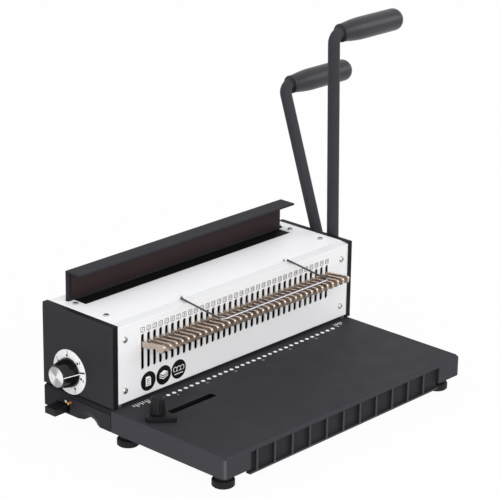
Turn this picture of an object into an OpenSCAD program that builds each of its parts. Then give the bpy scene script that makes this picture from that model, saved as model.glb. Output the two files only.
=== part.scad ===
// Desk machine that punches a row of square holes and closes a double-loop wire in them.
// Lengths are in millimetres, +Z is up, and the machine faces -Y.

/* [Hole row] */
// Number of punched holes, each with its own pin and pull
holes = 34; // [28:1:40]
// Distance between neighbouring holes, three to the inch
pitch = 8.467; // [7:0.001:8.9]
// Side of a square punch pin
pin_side = 4; // [3:0.1:4.6]
// Distance of the hole row behind the cover's front face
pin_y = 14; // [12:0.5:16]

/* [Cover] */
// Distance from the outermost holes to the cover's ends
cover_end = 34.9; // [32:0.1:60]
// Depth of the machine's body, from the cover's face to its back
body_d = 101.4; // [98:0.1:130]
// Height of the cover from its lower edge to its top
cover_h = 84.7; // [82:0.1:110]
// Thickness of the cover's sheet
sheet_t = 1.2; // [1:0.1:2]
// Depth of the slanted strip along the cover's front top edge
facet_d = 9.8; // [4:0.1:11]
// Fall of the slanted strip
facet_h = 1.7; // [1:0.1:2.5]
// Width of a slot in the cover
slot_w = 4.4; // [3:0.1:5]
// Height of a slot in the cover
slot_h = 38.6; // [33:0.1:44]
// Distance from the cover's top down to the slots
slot_drop = 17.5; // [15:0.1:19]
// Gap under the cover, where the paper goes in
throat = 3.3; // [2:0.1:3.9]
// Distance of the cover screws from the cover's ends
screw_inset = 10.4; // [8.5:0.1:11]

/* [Side covers] */
// Thickness of the left side cover
left_cover_t = 9.8; // [6:0.1:14]
// Thickness of the right side cover
right_cover_t = 6.7; // [5:0.1:9]
// Wall of both side covers
side_wall = 2.5; // [2:0.1:3.5]
// Bevel around the left side cover's outer face
left_bevel = 3; // [1:0.1:3.5]
// Bevel around the right side cover's outer face
right_bevel = 1; // [0.5:0.1:3.5]

/* [Base] */
// Depth of the table in front of the cover
table_d = 158; // [130:1:220]
// Height of the base without its feet
base_h = 22.1; // [21:0.1:32]
// How far the base passes the cover's left end
base_left = 10.8; // [10:0.1:16]
// How far the base passes the cover's right end
base_right = 3.9; // [1:0.1:5]
// Radius of the base's upright corners
corner_r = 6; // [4:0.5:16]
// Bevel around the table's top edge
table_bevel = 2.2; // [1:0.1:4]
// Thickness of the table's top
table_t = 5; // [4:0.1:6]
// Distance of the ribbed recess in the front edge from the base's ends
recess_end = 36.4; // [35:0.1:45]
// Number of ribs on the front edge
ribs = 11; // [4:1:11]
// Distance between neighbouring ribs
rib_pitch = 25.6; // [18:0.1:27]
// Depth of the recess in the front edge
recess_d = 4; // [2:0.1:6]
// How far the ribbed apron reaches below the base
apron_drop = 6; // [1:0.1:7]
// Radius of a rubber foot
foot_r = 11.5; // [10:0.1:13]
// Height of the rubber feet
foot_h = 15.1; // [10:0.1:20]

/* [Punch] */
// Place of the punch shaft behind the cover's face, as a share of the body's depth
punch_share = 0.345; // [0.33:0.001:0.36]
// Height of the punch shaft above the table
punch_up = 46; // [42:0.1:50]
// Teeth of the punch pinions
punch_teeth = 18; // [17:1:20]
// Swing of the punch lever
punch_swing = 90; // [60:1:95]
// Radius of both shafts
shaft_r = 6; // [5:0.1:6.5]
// Thickness of the lower die plate
die_t = 6; // [4:0.1:7]

/* [Pulls] */
// Thickness of a pull
pull_t = 2.6; // [2:0.1:2.8]
// Height of a pull where it passes the cover
pull_h = 6.1; // [5:0.1:8]
// How far a pull stands out of the cover
pull_out = 31.4; // [25:0.1:40]
// Rise of a pull's arm from the cover to its nose
pull_rise = 2.9; // [0:0.1:4]
// How much taller than the pull its hooked nose is
hook_drop = 2; // [1:0.1:4]
// Travel of a pull
pull_travel = 9; // [5:0.1:10]

/* [Closer] */
// Place of the closer shaft behind the cover's face, as a share of the body's depth
closer_share = 0.635; // [0.63:0.001:0.64]
// Height of the closer shaft above the table
closer_up = 51; // [48:0.1:54]
// Teeth of the closer pinions
closer_teeth = 20; // [18:1:20]
// Swing of the closer lever
closer_swing = 88; // [60:1:90]
// Place of the closer bar's upright wall, as a share of the body's depth
wall_share = 0.851; // [0.845:0.001:0.868]
// Thickness of the closer bar's sheet
wall_t = 3.5; // [2.5:0.1:4]
// Height of the closer bar above the cover at rest
closer_rise = 31.5; // [30:0.1:36]
// Thickness of the closer bar's flange
flange_t = 2; // [1.5:0.1:3.5]
// Depth of the closer bar's flange
flange_d = 20.3; // [15:0.1:24]
// Thickness of the magnet strip
magnet_t = 1.5; // [1:0.1:1.7]

/* [Levers] */
// Radius of a lever's bar
lever_r = 6.6; // [5.5:0.05:7]
// Length of the punch lever from its shaft to its grip's axis
punch_len = 265.6; // [250:0.1:330]
// Lean of the punch lever at rest
punch_lean = 1.5; // [0:0.1:5]
// Length of the closer lever from its shaft to its grip's axis
closer_len = 193.4; // [160:0.1:195]
// Lean of the closer lever at rest
closer_lean = 18.7; // [12:0.1:22]
// Radius of a lever's bend
bend_r = 10; // [8:0.1:16]
// Length of a grip
grip_l = 99; // [80:1:120]
// Largest radius of a grip
grip_r = 12.5; // [11:0.1:14]
// Radius of a grip where it meets the lever
grip_neck_r = 10; // [8:0.1:11]

/* [Dial] */
// Place of the dial behind the cover's face, as a share of the body's depth
dial_share = 0.586; // [0.57:0.001:0.62]
// Height of the dial above the table
dial_up = 24.9; // [24:0.1:26]
// Radius of the dial knob at its foot
knob_r = 15.8; // [12:0.1:18]
// Radius of the dial knob at its face
knob_face_r = 11.4; // [9:0.1:14]
// How far the dial knob stands out
knob_l = 17.6; // [12:0.1:17.6]
// Reach of the stop cam on the dial's spindle
cam_reach = 16; // [12:0.1:17]

/* [Wire rest] */
// Radius of the wire rest's rod
rest_r = 1; // [0.8:0.05:1.5]
// Distance of the wire rest's left leg from the middle of the hole row
rest_left = 77.2; // [50:0.1:100]
// Distance of the wire rest's right leg from the middle of the hole row
rest_right = 83.7; // [50:0.1:100]
// How far the wire rest reaches in front of the cover
rest_out = 50.5; // [44:0.5:70]
// Fall of the wire rest from its hinge to its front rod
rest_fall = 7.1; // [2:0.1:8]

/* [Side guide] */
// Distance of the guide's slot in front of the cover
guide_y = 43.4; // [40:0.1:80]
// Width of the guide's slot
guide_slot_w = 8.6; // [6:0.1:9]
// Travel of the side guide
guide_travel = 70; // [40:1:75]
// Reach of the guide's six-sided foot from its stud
guide_foot_r = 21.4; // [18:0.1:23]
// Height of the guide's foot
guide_foot_h = 5; // [3:0.1:7]
// Radius of the guide knob at its foot
guide_knob_r = 8; // [6:0.1:9]
// Height of the guide knob
guide_knob_h = 17.5; // [17:0.1:26]

/* [Tray and margin slider] */
// Wall of the chip tray
tray_wall = 1.5; // [1:0.1:2]
// Width of the finger scoop in the tray's front
scoop_w = 19; // [16:0.5:26]
// Height of the finger scoop
scoop_h = 5.4; // [5:0.1:7]
// Place of the margin slider behind the cover's face, as a share of the body's depth
margin_share = 0.6855; // [0.68:0.0005:0.71]
// How far the margin slider stands out of the base
margin_l = 18; // [17:0.5:30]
// Width of the margin slider
margin_w = 15; // [12:0.1:15]
// Travel of the margin slider to either side
margin_travel = 2; // [1:0.1:2.2]

/* [Hidden] */
// Clearances
run = 0.05;
slide_gap = 0.3;
free_gap = 0.6;
touch = 0.01;

// Heights above the floor
table_z = foot_h + base_h;
cover_z = table_z + throat;
top_z = cover_z + cover_h;
slot_top = top_z - slot_drop;
punch_z = table_z + punch_up;
closer_z = table_z + closer_up;
dial_z = table_z + dial_up;

// Stations in depth, from the cover's face
punch_y = punch_share * body_d;
closer_y = closer_share * body_d;
wall_y = wall_share * body_d;
dial_y = dial_share * body_d;
margin_y = margin_share * body_d;

// Stations along the machine, from the middle of the hole row
cover_half = (holes - 1) * pitch / 2 + cover_end;
left_x = cover_half + left_cover_t;
right_x = cover_half + right_cover_t;
base_x0 = -cover_half - base_left;
base_x1 = cover_half + base_right;
frame_t = 4;
frame_gap = 1.8;
rail_t = 2.7;
tab_half = 6;
frame_x = cover_half - frame_gap - frame_t;
ram_gap = 6;
ram_half = frame_x - ram_gap;
tongue_l = 4.5;
rack_w = 8;
punch_rack_x = ram_half - 1 - rack_w / 2;
rack_spread = 12;
closer_rack_x = punch_rack_x - rack_spread;
wall_half = frame_x - 7.8;
magnet_half = wall_half - 3.5;
anvil_half = frame_x - 15;
row = [for (i = [0 : holes - 1]) (i - (holes - 1) / 2) * pitch];
screw_x = cover_half - screw_inset;
top_screw_x = screw_x - 2.6;
screw_r = 1.5;
screw_head_r = 3.2;
screw_head_h = 1.6;
screw_way = 9;
tab_in = 3.5;
front_screws = [cover_z + 12.8, top_z - 16.9];
top_screws = [0.29 * body_d, 0.733 * body_d];
rear_screws = [table_z + 10, top_z - 14];
rear_screw_x = frame_x - 4.5;
lip_inset = 12;
lip_d = 9;

// Teeth
pressure = 20;
punch_module = 1;
closer_module = 1.5;
backlash = 0.2;
punch_r = punch_module * punch_teeth / 2;
closer_r = closer_module * closer_teeth / 2;
punch_stroke = punch_r * punch_swing * PI / 180;
closer_stroke = closer_r * closer_swing * PI / 180;
rack_over = 8;

// Punch
tab_t = 2.2;
ram_front = sheet_t + tab_t + slide_gap;
ram_back = punch_y - punch_r - 2;
pull_top = slot_top - 7.8;
pull_bottom = pull_top - pull_h;
ram_top = pull_top + 7.3;
ram_bottom = pull_bottom - 10.4;
pull_hold = 9;
arch_h = 2.7;
arch_w = 13;
arch_share = 0.6;
nose_bend = 2;
pull_end = ram_front + pull_hold + pull_travel;
pin_top = pull_bottom - slide_gap;
pin_bottom = cover_z + 1.1;
pin_low = pin_bottom - punch_stroke;
guide_plate_h = 8.7;
die_half = ram_half - 10;
die_d = 16;
drop_d = pin_side + 2;

// Closer
closer_out = closer_r + 0.9 * closer_module;
strip_y = closer_y - closer_r;
strip_front = strip_y - 1.25 * closer_module - 3;
yoke_low = table_z + closer_stroke + 1;
yoke_high = closer_z - closer_out - 1.5;
closer_top = top_z + closer_rise;
wall_step = top_z + 1.6;
wall_end = wall_half - 3.8;
flange_end = wall_half + 1.7;
magnet_end = wall_end - 0.8;
magnet_low = top_z + 2.8;
magnet_y = wall_y - magnet_t;
anvil_front = closer_y + 2.8;
anvil_back = magnet_y - free_gap;
anvil_low = top_z - 14;
anvil_foot = 8;
lug_y = closer_y + shaft_r + 1.1;
lug_low = dial_z + cam_reach + free_gap + closer_stroke;
lug_h = 6;
cam_t = 5;
spindle_r = 4;
cam_x = wall_half - 5;

// Levers
punch_x = right_x + 9.1;
closer_x = punch_x + 2 * lever_r + 1.9;
hub_r = 11;
spigot_r = 5;
spigot_l = 70;

// Base, tray and margin slider
floor_t = 2;
base_back = body_d - 0.1;
rib_t = 2.4;
rib_first = 10;
rib_back = 0.6;
apron_t = 2;
sill_h = 1.8;
left_foot_x = base_x0 + 15.5;
right_foot_x = base_x1 - 18.5;
front_foot_y = foot_r + 5 - table_d;
rear_foot_x = cover_half - 54.6;
rear_foot_y = base_back - 16.3;
mid_foot_y = -9.8;
web_t = 4;
hollow_half = base_x1 - 2 * foot_r - 4.5;
hollow_step = (2 * hollow_half + web_t) / 3;
tray_top = pin_low - slide_gap;
tray_y0 = 4;
panel_t = 2.7;
panel_y0 = -1.4;
panel_gap = 0.9;
panel_rim = 2;
panel_y1 = margin_y - margin_w / 2 - margin_travel;
tray_w = panel_y1 - panel_rim - tray_y0;
panel_h = 18.4;
tray_x1 = frame_x - 20;
scoop_x = 15;
scoop_y = 31;
scoop_rim = 6;
scoop_slope = scoop_rim / panel_t;
scoop_r = (pow(scoop_w / 2, 2) + pow(scoop_h, 2)) / (2 * scoop_h);
well_x0 = base_x0 + 5;
margin_z = foot_h + 2.6;
margin_h = 7;
post_w = 8;
post_x = -frame_x + post_w / 2 + free_gap;
well_x1 = post_x + post_w / 2 + free_gap;
stop_y = pin_y + 8.4;
stop_h = throat - 2 * slide_gap;
guide_x = base_x0 + 23.6;
// Corners of the guide's foot, as shares of its reach
foot_corners = [[-0.73, 0.07], [-0.7, -0.23], [0.154, -0.988],
    [0.337, -0.926], [0.528, 0.033], [0.14, 0.467]];
well_x = guide_x + 25;
pivot_y = facet_d - 0.8;
pivot_z = top_z + rest_r + 0.3;
front_bend = 4;
end_bend = 1.8;
ear_in = end_bend + 0.3;
ear_t = 1.5;
ear_r = 2.2;
ear_low = top_z - 0.6;
rod_past = 0.3;
stud_r = 3;
stud_h = 14;

// Shift that puts the origin under the middle of the whole machine
x_low = base_x0 - margin_l;
x_high = closer_x + bend_r + grip_l;
y_low = -table_d;
y_high = closer_y + closer_len * sin(closer_lean) + grip_r;
x_mid = (x_low + x_high) / 2;
y_mid = (y_low + y_high) / 2;

$fn = 48;

function pull_name(i) = str("pin_pull_", i < 9 ? "0" : "", i + 1);

// Moves machine coordinates to the part's own origin
module place() {
    translate([-x_mid, -y_mid, 0]) children();
}

// Block between two corners
module block(a, b) {
    translate(a) cube(b - a);
}

// Turns a drawing of depth (Y) and height (Z) into a slab from x0 to x1
module across(x0, x1) {
    translate([x0, 0, 0]) rotate([90, 0, 90]) linear_extrude(x1 - x0) children();
}

// Round bar along X
module bar_x(x0, x1, y, z, r) {
    translate([x0, y, z]) rotate([0, 90, 0]) cylinder(h = x1 - x0, r = r);
}

// Round bar along Y
module bar_y(y0, y1, x, z, r) {
    translate([x, y0, z]) rotate([-90, 0, 0]) cylinder(h = y1 - y0, r = r);
}

// Same children on both ends of the machine
module both_ends() {
    children();
    mirror([1, 0, 0]) children();
}

function degrees_of(rad) = rad * 180 / PI;
function unwind(rho, base_r) = rho <= base_r ? 0 : sqrt(pow(rho / base_r, 2) - 1);
function flank_turn(rho, base_r) = degrees_of(unwind(rho, base_r)) - atan(unwind(rho, base_r));

// Half the angle that a pinion tooth takes up at radius rho
function tooth_half(rho, r, teeth) =
    90 / teeth - degrees_of(backlash / 4 / r)
    + flank_turn(r, r * cos(pressure)) - flank_turn(rho, r * cos(pressure));

// Pinion drawing with a tooth space on its -Y side
module pinion(m, teeth) {
    r = m * teeth / 2;
    rise = [r - 1.25 * m, r * cos(pressure), r, r + 0.9 * m];
    fall = [for (i = [len(rise) - 1 : -1 : 0]) rise[i]];
    polygon([
        for (k = [0 : teeth - 1], side = [-1, 1], rho = side < 0 ? rise : fall)
            let (a = 180 + (k + 0.5) * 360 / teeth + side * tooth_half(rho, r, teeth))
            [rho * cos(a), rho * sin(a)]
    ]);
}

// Rack teeth that point to +Y, on a pitch line at y, with a tooth at height z
module rack_teeth(m, y, z, below, above) {
    step = PI * m;
    half = step / 4 - backlash / 4;
    tip = half - 0.9 * m * tan(pressure);
    root = half + 1.25 * m * tan(pressure);
    for (k = [-ceil(below / step) : ceil(above / step)])
        translate([y, z + k * step])
            polygon([
                [-1.25 * m - touch, -root], [-1.25 * m, -root], [0.9 * m, -tip],
                [0.9 * m, tip], [-1.25 * m, root], [-1.25 * m - touch, root]
            ]);
}

// Slab with round upright corners and a bevelled top edge
module bevelled_slab(a, b, r, bevel) {
    side = [[0, a.z], [0, b.z - bevel], [bevel, b.z]];
    translate([0, a.y, 0]) across(a.x + r, b.x - r)
        polygon(concat(side, [for (p = [side[2], side[1], side[0]]) [b.y - a.y - p.x, p.y]]));
    translate([a.x, b.y - r, 0]) rotate([90, 0, 0]) linear_extrude(b.y - a.y - 2 * r)
        polygon(concat(side, [for (p = [side[2], side[1], side[0]]) [b.x - a.x - p.x, p.y]]));
    for (x = [a.x + r, b.x - r], y = [a.y + r, b.y - r]) translate([x, y, a.z]) {
        cylinder(h = b.z - a.z - bevel, r = r);
        translate([0, 0, b.z - a.z - bevel]) cylinder(h = bevel, r1 = r, r2 = r - bevel);
    }
}

module base() color("dimgray") difference() {
    under = table_z - table_t;
    recess_x0 = base_x0 + recess_end;
    recess_x1 = base_x1 - recess_end;
    recess_top = table_z - recess_d;
    rib_y = -table_d + rib_back;
    apron_y = -table_d + recess_d;
    apron_z = foot_h - apron_drop;
    union() {
        difference() {
            bevelled_slab([base_x0, -table_d, foot_h], [base_x1, base_back, table_z], corner_r, table_bevel);
            block([recess_x0, -table_d - 1, foot_h - 1], [recess_x1, apron_y, recess_top]);
        }
        // Apron behind the recess, with its ribs and the sill along its foot
        block([recess_x0, apron_y, apron_z], [recess_x1, apron_y + apron_t, recess_top]);
        for (i = [0 : ribs - 1])
            translate([recess_x0 + rib_first + i * rib_pitch - rib_t / 2, rib_y, apron_z])
                cube([rib_t, recess_d, recess_top - apron_z]);
        block([recess_x0, rib_y, apron_z], [recess_x1, apron_y + apron_t, apron_z + sill_h]);
    }
    // Hollow under the table, with two cross webs left standing
    for (i = [-1 : 1])
        translate([i * hollow_step - (hollow_step - web_t) / 2, -table_d + 12, foot_h - 1])
            cube([hollow_step - web_t, table_d - 18, under - foot_h + 1]);
    // Well under the guide's slot, and the slot
    block([well_x0, -guide_y - 11, foot_h - 1], [well_x, -guide_y + 11, under]);
    block([guide_x - 6, -guide_y - guide_slot_w / 2, under - 1],
        [guide_x + guide_travel + 10, -guide_y + guide_slot_w / 2, table_z + 1]);
    // Channel of the chip tray, its front panel's seat and the open floor under the finger scoop
    block([base_x0 - 1, tray_y0, foot_h + floor_t], [tray_x1 + 4, tray_y0 + tray_w, tray_top]);
    block([base_x0 - 1, panel_y0, foot_h - 1],
        [base_x0 + panel_t + slide_gap, panel_y1, foot_h + panel_h + panel_gap]);
    block([base_x0, scoop_y - scoop_w / 2, foot_h - 1],
        [base_x0 + scoop_x, scoop_y + scoop_w / 2, foot_h + floor_t + 1]);
    // Seat of the die plate and the chip drop under it
    block([-die_half - slide_gap, pin_y - die_d / 2 - slide_gap, table_z - die_t],
        [die_half + slide_gap, pin_y + die_d / 2 + slide_gap, table_z + 1]);
    block([row[0] - 6, pin_y - drop_d / 2, tray_top - 1], [row[holes - 1] + 6, pin_y + drop_d / 2, table_z]);
    // Slot and well of the margin slider, and the way up for its post
    block([base_x0 - 1, margin_y - margin_w / 2 - margin_travel - free_gap, margin_z - free_gap],
        [well_x1, margin_y + margin_w / 2 + margin_travel + free_gap, margin_z + margin_h + free_gap]);
    block([post_x - post_w / 2 - free_gap, margin_y - post_w / 2 - margin_travel - free_gap, margin_z],
        [post_x + post_w / 2 + free_gap, margin_y + post_w / 2 + margin_travel + free_gap, table_z + 1]);
}

foot_places = [
    [left_foot_x, front_foot_y], [right_foot_x, front_foot_y],
    [left_foot_x, mid_foot_y], [right_foot_x, mid_foot_y],
    [-rear_foot_x, rear_foot_y], [rear_foot_x, rear_foot_y]
];

module rubber_feet() color("black") for (p = foot_places) translate([p.x, p.y, 0])
    rotate_extrude() polygon([
        [0, 0], [foot_r - 1, 0], [foot_r, 1], [foot_r, foot_h * 0.42], [foot_r - 1, foot_h * 0.5],
        [foot_r - 3, foot_h * 0.55], [foot_r - 3, foot_h], [0, foot_h]
    ]);

// Upright plate at one end, with its guide rails and screw tabs
module side_frame(side) {
    outer = frame_x + frame_t;
    plate_top = top_z - sheet_t;
    mirror([side < 0 ? 1 : 0, 0, 0]) difference() {
        union() {
            block([frame_x, facet_d, table_z], [outer, base_back - 4, plate_top]);
            block([frame_x, sheet_t, table_z], [outer, facet_d + 1, top_z - facet_h - 1.2 * sheet_t]);
            for (y = [ram_front + 2, ram_back - 2 - rail_t])
                block([ram_half + 0.5, y, ram_bottom - punch_stroke - rack_over],
                    [frame_x + 1, y + rail_t, ram_top + 2]);
            for (y = [wall_y - slide_gap - rail_t, wall_y + wall_t + slide_gap])
                block([wall_half - 3, y, yoke_low - rack_over], [frame_x + 1, y + rail_t, lug_low - 2]);
            for (z = front_screws)
                block([screw_x - tab_in, sheet_t, z - tab_half],
                    [frame_x + 1, sheet_t + tab_t, z + tab_half]);
            for (y = top_screws)
                block([top_screw_x - tab_in, y - tab_half, plate_top - tab_t],
                    [frame_x + 1, y + tab_half, plate_top]);
            for (z = rear_screws)
                block([rear_screw_x - tab_in, body_d - sheet_t - tab_t, z - tab_half],
                    [outer, body_d - sheet_t, z + tab_half]);
            block([frame_x, base_back - 5, table_z + 3], [outer, body_d - sheet_t, plate_top]);
        }
        bar_x(frame_x - 1, outer + 1, punch_y, punch_z, shaft_r + run);
        bar_x(frame_x - 1, outer + 1, closer_y, closer_z, shaft_r + run);
        if (side < 0) bar_x(frame_x - 1, outer + 1, dial_y, dial_z, spindle_r + run);
        for (z = front_screws) bar_y(0, screw_way, screw_x, z, screw_r + run);
        for (y = top_screws) translate([top_screw_x, y, top_z - screw_way])
            cylinder(h = screw_way, r = screw_r + run);
        for (z = rear_screws) bar_y(body_d - screw_way, body_d, rear_screw_x, z, screw_r + run);
    }
}

module side_frames() color("silver") {
    side_frame(-1);
    side_frame(1);
}

// Shallow cap with a bevelled outer face, standing on the cover's end at x = 0 and reaching to x = t
module end_cap(t, bevel) {
    low = table_z + slide_gap;
    high = top_z + 0.7;
    front = -0.8;
    back = body_d + 0.8;
    rim = side_wall + 0.8;
    difference() {
        intersection() {
            translate([0, back, 0]) rotate([90, 0, 0]) linear_extrude(back - front)
                polygon([[0, low], [t - bevel, low], [t, low + bevel], [t, high - bevel],
                    [t - bevel, high], [0, high]]);
            linear_extrude(top_z + 10)
                polygon([[0, front], [t - bevel, front], [t, front + bevel], [t, back - bevel],
                    [t - bevel, back], [0, back]]);
        }
        block([-1, front + rim, low + side_wall], [t - side_wall, back - rim, high - side_wall]);
    }
}

module left_side_cover() color([0.2, 0.2, 0.21]) difference() {
    mirror([1, 0, 0]) translate([cover_half, 0, 0]) end_cap(left_cover_t, left_bevel);
    bar_x(-left_x - 1, -cover_half, dial_y, dial_z, spindle_r + slide_gap);
}

module right_side_cover() color([0.2, 0.2, 0.21]) difference() {
    translate([cover_half, 0, 0]) end_cap(right_cover_t, right_bevel);
    bar_x(cover_half, right_x + 1, punch_y, punch_z, shaft_r + free_gap);
    bar_x(cover_half, right_x + 1, closer_y, closer_z, shaft_r + free_gap);
}

// Slot drawing, w wide and h high, with round ends and its top at the origin
module slot(w, h) {
    translate([-w / 2, -h + w / 2]) square([w, h - w]);
    for (y = [-w / 2, w / 2 - h]) translate([0, y]) circle(d = w);
}

module front_cover() color("whitesmoke") {
    front_top = top_z - facet_h;
    difference() {
        across(-cover_half, cover_half) polygon([
            [0, cover_z], [0, front_top], [facet_d, top_z], [body_d, top_z], [body_d, top_z - sheet_t],
            [facet_d, top_z - sheet_t], [sheet_t, front_top - 0.8 * sheet_t], [sheet_t, cover_z]
        ]);
        for (x = row) translate([x, sheet_t + 1, slot_top])
            rotate([90, 0, 0]) linear_extrude(sheet_t + 2) slot(slot_w, slot_h);
        // Opening over the anvil, and the longer one for the closer bar's wall
        block([-anvil_half - 1, anvil_front - 0.4, top_z - 5], [anvil_half + 1, wall_y, top_z + 5]);
        block([-wall_half - 1.7, magnet_y - 0.5, top_z - 5],
            [wall_half + 1.7, wall_y + wall_t + 0.8, top_z + 5]);
        for (s = [-1, 1], z = front_screws) bar_y(-1, 5, s * screw_x, z, screw_r + 0.2);
        for (s = [-1, 1], y = top_screws)
            translate([s * top_screw_x, y, top_z - 5]) cylinder(h = 10, r = screw_r + 0.2);
    }
    // Ears that hold the wire rest's turned-in ends
    for (x = [-rest_left + ear_in, rest_right - ear_in - ear_t]) difference() {
        across(x, x + ear_t) {
            translate([pivot_y, pivot_z]) circle(r = ear_r);
            translate([pivot_y - ear_r, ear_low]) square([2 * ear_r, pivot_z - ear_low]);
        }
        bar_x(x - 1, x + ear_t + 1, pivot_y, pivot_z, rest_r + run);
    }
}

module rear_cover() color("whitesmoke") difference() {
    union() {
        block([-cover_half, body_d - sheet_t, table_z], [cover_half, body_d, top_z - sheet_t]);
        block([-frame_x + lip_inset, body_d - lip_d, table_z],
            [frame_x - lip_inset, body_d, table_z + sheet_t]);
    }
    for (s = [-1, 1], z = rear_screws)
        bar_y(body_d - 5, body_d + 1, s * rear_screw_x, z, screw_r + 0.2);
}

// Pan-head screw that points along +Z with its head on top of the origin
module screw() {
    translate([0, 0, -sheet_t - tab_t - 1]) cylinder(h = sheet_t + tab_t + 1, r = screw_r);
    difference() {
        rotate_extrude() polygon([
            [0, 0], [screw_head_r, 0], [screw_head_r, screw_head_h * 0.5],
            [screw_head_r * 0.8, screw_head_h * 0.9], [screw_head_r * 0.5, screw_head_h], [0, screw_head_h]
        ]);
        for (a = [0, 90]) rotate(a) translate([-2, -0.4, screw_head_h * 0.4]) cube([4, 0.8, screw_head_h]);
    }
}

module cover_screws() color("gray") for (s = [-1, 1]) {
    for (z = front_screws) translate([s * screw_x, 0, z]) rotate([90, 0, 0]) screw();
    for (y = top_screws) translate([s * top_screw_x, y, top_z]) screw();
    for (z = rear_screws) translate([s * rear_screw_x, body_d, z]) rotate([-90, 0, 0]) screw();
}

// Square holes for the pins through the die set
module pin_holes(z0, z1) {
    side = pin_side + 2 * run;
    for (x = row) translate([x - side / 2, pin_y - side / 2, z0]) cube([side, side, z1 - z0]);
}

module punch_die() color("gray") {
    difference() {
        block([-die_half, pin_y - die_d / 2, table_z - die_t], [die_half, pin_y + die_d / 2, table_z]);
        pin_holes(table_z - die_t - 1, table_z + 1);
    }
    difference() {
        block([-frame_x, pin_y - 6, cover_z], [frame_x, pin_y + 6, cover_z + guide_plate_h]);
        pin_holes(cover_z - 1, cover_z + guide_plate_h + 1);
    }
}

module punch_ram() color("darkgray") difference() {
    union() {
        block([-ram_half, ram_front, ram_bottom], [ram_half, ram_back, ram_top]);
        both_ends()
            block([ram_half - 1, ram_front + 5, ram_bottom], [ram_half + tongue_l, ram_back - 5, ram_top]);
        both_ends() across(punch_rack_x - rack_w / 2, punch_rack_x + rack_w / 2) {
            low = punch_z - rack_over - 2;
            high = punch_z + punch_stroke + rack_over + 2;
            translate([ram_back - 6, low]) square([6 + 2 - 1.25 * punch_module, high - low]);
            rack_teeth(punch_module, punch_y - punch_r, punch_z, rack_over, punch_stroke + rack_over);
        }
    }
    for (x = row) translate([x - pull_t / 2 - 0.2, ram_front - 1, pull_bottom - slide_gap])
        cube([pull_t + 0.4, ram_back - ram_front + 2, pull_h + 2 * slide_gap]);
    pin_holes(ram_bottom - 1, pull_bottom);
}

module punch_pins() color("silver") for (x = row)
    translate([x - pin_side / 2, pin_y - pin_side / 2, pin_bottom])
        cube([pin_side, pin_side, pin_top - pin_bottom]);

// Pull with a rising arm, a shallow arch under it and a hooked nose, from the side with its top at z = 0
module pull_shape() {
    nose_r = (pull_h + hook_drop) / 2;
    nose_y = nose_r - pull_out;
    nose_z = pull_rise - nose_r;
    bend_y = nose_bend - pull_out;
    under_arch = -pull_h + arch_share * (nose_z - nose_r + pull_h);
    arch_r = (pow(arch_w / 2, 2) + pow(arch_h, 2)) / (2 * arch_h);
    difference() {
        union() {
            polygon([
                [pull_end, 0], [0, 0], [nose_y, pull_rise], [nose_y, nose_z - nose_r],
                [0, -pull_h], [pull_end, -pull_h]
            ]);
            translate([nose_y, nose_z]) circle(r = nose_r);
            translate([-pull_out, nose_z]) square([nose_r, nose_r - nose_bend]);
            translate([bend_y, nose_z]) square([nose_r - nose_bend, nose_r]);
            translate([bend_y, pull_rise - nose_bend]) circle(r = nose_bend);
        }
        translate([arch_share * nose_y, under_arch + arch_h - arch_r]) circle(r = arch_r);
    }
}

module pin_pull(i) color("tan")
    translate([0, 0, pull_top]) across(row[i] - pull_t / 2, row[i] + pull_t / 2) pull_shape();

module punch_shaft() color("silver") {
    bar_x(-frame_x - frame_t, punch_x + lever_r, punch_y, punch_z, shaft_r);
    both_ends() translate([0, punch_y, punch_z])
        across(punch_rack_x - rack_w / 2, punch_rack_x + rack_w / 2) pinion(punch_module, punch_teeth);
}

module closer_shaft() color("silver") {
    bar_x(-frame_x - frame_t, closer_x + lever_r, closer_y, closer_z, shaft_r);
    both_ends() translate([0, closer_y, closer_z])
        across(closer_rack_x - rack_w / 2, closer_rack_x + rack_w / 2) pinion(closer_module, closer_teeth);
}

// Bent bar with a hub at its foot and a spigot for the grip at its top
module lever(x, y, z, length, lean) {
    translate([x, y, z]) rotate([-lean, 0, 0]) {
        difference() {
            union() {
                bar_x(-lever_r, lever_r, 0, 0, hub_r);
                cylinder(h = length - bend_r, r = lever_r);
            }
            bar_x(-lever_r - 1, lever_r + 1, 0, 0, shaft_r + run);
        }
        translate([bend_r, 0, length - bend_r]) rotate([90, 0, 0]) rotate([0, 0, 90])
            rotate_extrude(angle = 90) translate([bend_r, 0]) circle(r = lever_r);
        bar_x(bend_r, bend_r + spigot_l, 0, length, spigot_r);
    }
}

// Swelling grip with a round end and a blind bore for the spigot
module grip(x, y, z, length, lean) {
    tip = grip_r * 0.8;
    end = [for (a = [15 : 15 : 90]) [grip_r - tip + tip * cos(a), grip_l - tip + tip * sin(a)]];
    belly = 0.36;
    swell = [
        for (i = [1 : 4]) [grip_neck_r + (grip_r - grip_neck_r) * sin(90 * i / 4), grip_l * belly * i / 4]
    ];
    translate([x, y, z]) rotate([-lean, 0, 0]) translate([bend_r, 0, length]) rotate([0, 90, 0])
        rotate_extrude() polygon(concat(
            [[spigot_r + run, 0], [grip_neck_r, 0]], swell, [[grip_r, grip_l - tip]], end,
            [[0, grip_l], [0, spigot_l + slide_gap], [spigot_r + run, spigot_l + slide_gap]]
        ));
}

module punch_lever() color("dimgray") lever(punch_x, punch_y, punch_z, punch_len, punch_lean);

module punch_grip() color([0.25, 0.25, 0.27]) grip(punch_x, punch_y, punch_z, punch_len, punch_lean);

module closer_lever() color("dimgray") lever(closer_x, closer_y, closer_z, closer_len, closer_lean);

module closer_grip() color([0.25, 0.25, 0.27]) grip(closer_x, closer_y, closer_z, closer_len, closer_lean);

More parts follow.
